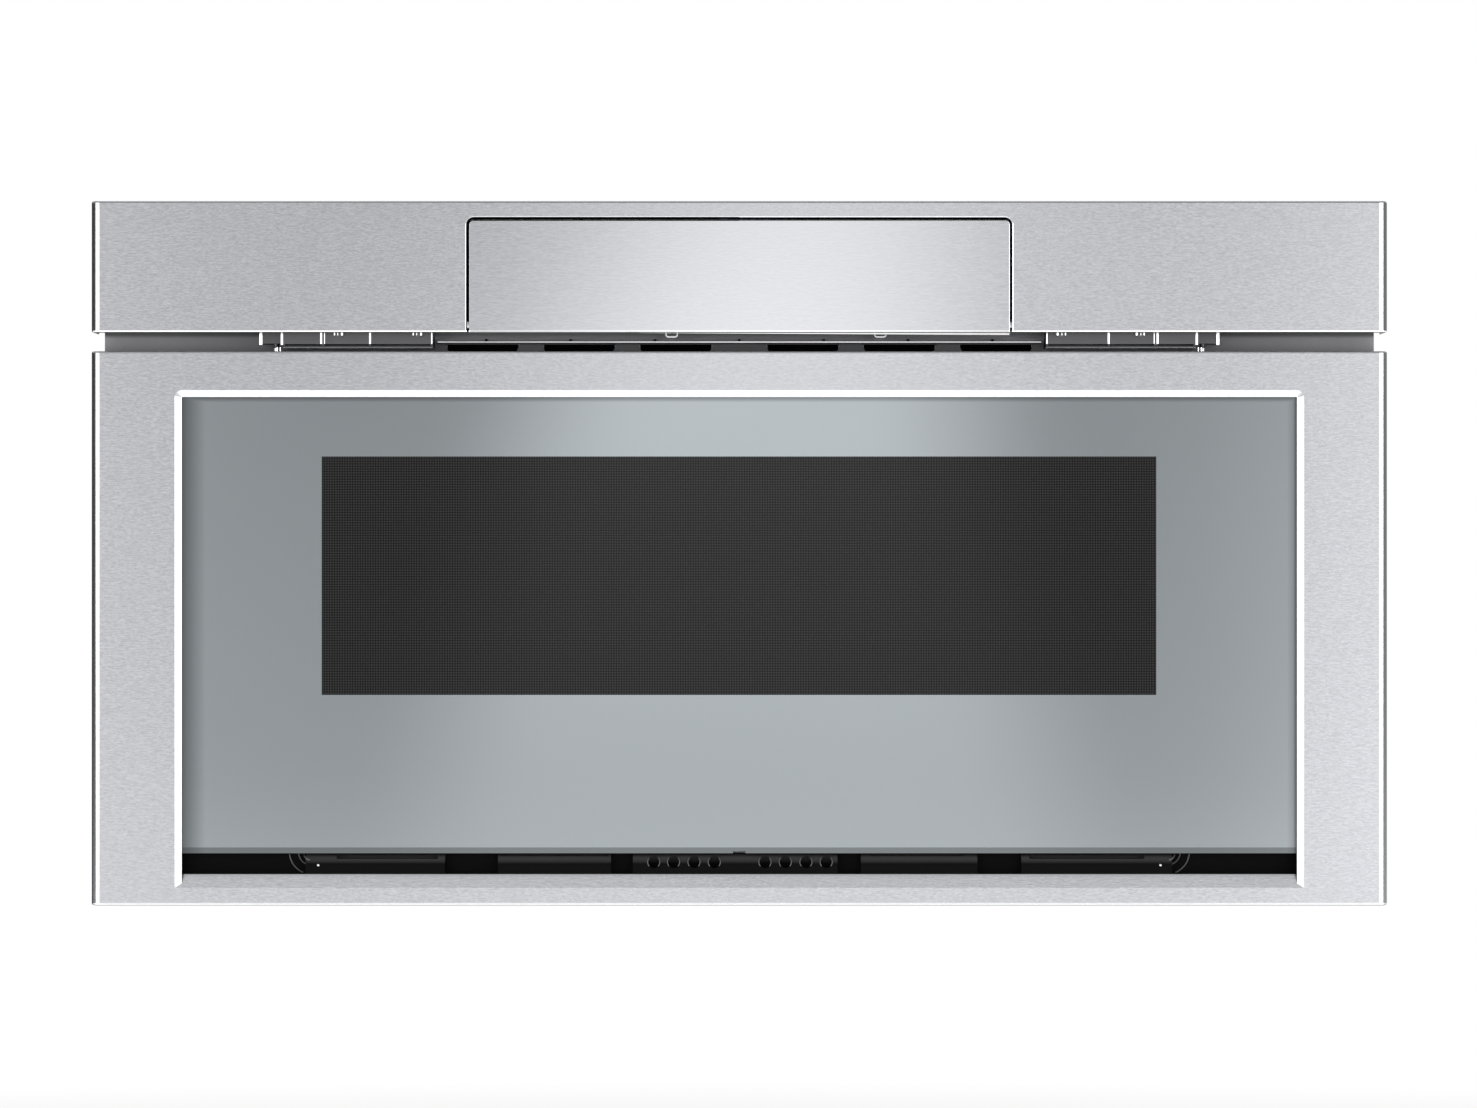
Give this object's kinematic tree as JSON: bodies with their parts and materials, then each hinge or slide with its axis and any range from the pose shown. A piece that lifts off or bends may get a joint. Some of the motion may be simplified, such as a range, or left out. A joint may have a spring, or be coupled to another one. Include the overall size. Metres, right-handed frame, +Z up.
{
  "type": "microwave drawer",
  "caption": "Built-in microwave oven drawer with a stainless fascia, a tilt-out control panel and a windowed drawer front on telescopic slides.",
  "frame": {"origin": "centre of the four flange screws, on the cabinet face that the flange seats on", "axes": "+X to the right seen from the front, +Y into the cabinet, +Z up"},
  "size_m": [0.7588, 0.5967, 0.4123],
  "materials": {
    "stainless": "fine horizontal brushed grain",
    "tinted_glass": "grey-tinted, coated at the back",
    "touch_glass": "gloss black, printed at the back",
    "window_mesh": "perforated black screen",
    "black_plastic": "fine moulded grain",
    "bushing_plastic": "moulded",
    "chassis_steel": "galvanised sheet",
    "vent_steel": "bright folded sheet",
    "cavity_paint": "light grey baked enamel",
    "tub_steel": "light grey baked enamel",
    "glass_ceramic": "smooth plate",
    "screw_steel": "bright zinc",
    "slide_steel": "rolled, zinc plated",
    "mica": "pale mica sheet",
    "aluminium": "stamped",
    "motor_steel": "plated can",
    "core_steel": "varnished laminations",
    "copper_wire": "enamelled copper",
    "can_steel": "drawn can",
    "fan_plastic": "moulded",
    "circuit_board": "green board",
    "gear_plastic": "natural nylon",
    "switch_plastic": "moulded",
    "lamp_white": "holder and bulb"
  },
  "bodies": {
    "case": {"front_plate": "chassis_steel", "base_pan": "chassis_steel", "side_panels": "chassis_steel", "back_panel": "chassis_steel", "top_cover": "chassis_steel", "cord_bushing": "bushing_plastic", "screws": "screw_steel", "cavity_floor": "cavity_paint", "cavity_sides": "cavity_paint", "cavity_ceiling": "cavity_paint", "cavity_back": "cavity_paint", "cavity_lamp": "lamp_white", "stirrer_cover": "mica", "stirrer_motor": "motor_steel", "waveguide": "chassis_steel", "magnetron": "aluminium", "transformer_core": "core_steel", "transformer_windings": "copper_wire", "capacitor": "can_steel", "fan_motor": "motor_steel", "fan_shroud": "fan_plastic", "power_board": "circuit_board", "vent_guide": "vent_steel", "fascia": "stainless", "fascia_brackets": "chassis_steel", "control_cassette": "black_plastic", "catch_clips": "vent_steel", "rails_outer": "slide_steel", "rail_supports": "chassis_steel", "shaft_bearings": "bushing_plastic", "drive_motor": "motor_steel", "switch_bodies": "switch_plastic"},
    "stirrer": {"stirrer": "aluminium"},
    "fan": {"fan_blade": "fan_plastic"},
    "control_panel": {"control_door": "stainless", "control_housing": "black_plastic", "touch_glass": "touch_glass", "control_board": "circuit_board", "hinge_pins": "screw_steel"},
    "drawer": {"drawer_frame": "stainless", "drawer_glass": "tinted_glass", "window_screen": "window_mesh", "glass_carrier": "black_plastic", "air_grille": "black_plastic", "door_panel": "chassis_steel", "choke_cover": "black_plastic", "drawer_brackets": "slide_steel", "tub_sides": "tub_steel", "tub_base": "tub_steel", "floor_plate": "glass_ceramic", "rails_inner": "slide_steel", "drive_racks": "slide_steel"},
    "rail_mid_right": {"rail_mid_right": "slide_steel"},
    "rail_mid_left": {"rail_mid_left": "slide_steel"},
    "drive_shaft": {"drive_shaft": "screw_steel", "drive_pinions": "screw_steel", "drive_gear": "gear_plastic"},
    "motor_pinion": {"motor_pinion": "gear_plastic"},
    "plunger_right": {"plunger_right": "switch_plastic"},
    "plunger_left": {"plunger_left": "switch_plastic"}
  },
  "joints": [
    {"name": "drawer_slide", "type": "slide", "parent": "case", "child": "drawer", "axis": [0, -1, 0], "range_m": [0, 0.381]},
    {"name": "rail_slide_right", "type": "slide", "parent": "case", "child": "rail_mid_right", "axis": [0, -1, 0], "range_m": [0, 0.1905]},
    {"name": "rail_slide_left", "type": "slide", "parent": "case", "child": "rail_mid_left", "axis": [0, -1, 0], "range_m": [0, 0.1905]},
    {"name": "shaft_turn", "type": "hinge", "parent": "case", "child": "drive_shaft", "pos_m": [0, 0.045, -0.1675], "axis": [1, 0, 0], "range_deg": [0, 1820]},
    {"name": "motor_turn", "type": "hinge", "parent": "case", "child": "motor_pinion", "pos_m": [0.12, 0.08, -0.1675], "axis": [1, 0, 0], "range_deg": [-5458, 0]},
    {"name": "plunger_slide_right", "type": "slide", "parent": "case", "child": "plunger_right", "axis": [0, -1, 0], "range_m": [0, 0.003]},
    {"name": "plunger_slide_left", "type": "slide", "parent": "case", "child": "plunger_left", "axis": [0, -1, 0], "range_m": [0, 0.003]},
    {"name": "panel_tilt", "type": "hinge", "parent": "case", "child": "control_panel", "pos_m": [0, -0.0362, 0.134], "axis": [1, 0, 0], "range_deg": [0, 45]},
    {"name": "fan_spin", "type": "hinge", "parent": "case", "child": "fan", "pos_m": [0.13, 0.511, -0.1], "axis": [0, 1, 0], "continuous": true},
    {"name": "stirrer_spin", "type": "hinge", "parent": "case", "child": "stirrer", "pos_m": [0, 0.215, 0.08], "axis": [0, 0, 1], "continuous": true}
  ],
  "couplings": [
    {"joint": "rail_slide_right", "follows": "drawer_slide", "ratio": 0.5},
    {"joint": "rail_slide_left", "follows": "drawer_slide", "ratio": 0.5},
    {"joint": "shaft_turn", "follows": "drawer_slide", "rad_per_m": 83.333},
    {"joint": "motor_turn", "follows": "drawer_slide", "rad_per_m": -250},
    {"joint": "plunger_slide_right", "follows": "drawer_slide", "ratio": 0.00787},
    {"joint": "plunger_slide_left", "follows": "drawer_slide", "ratio": 0.00787}
  ]
}
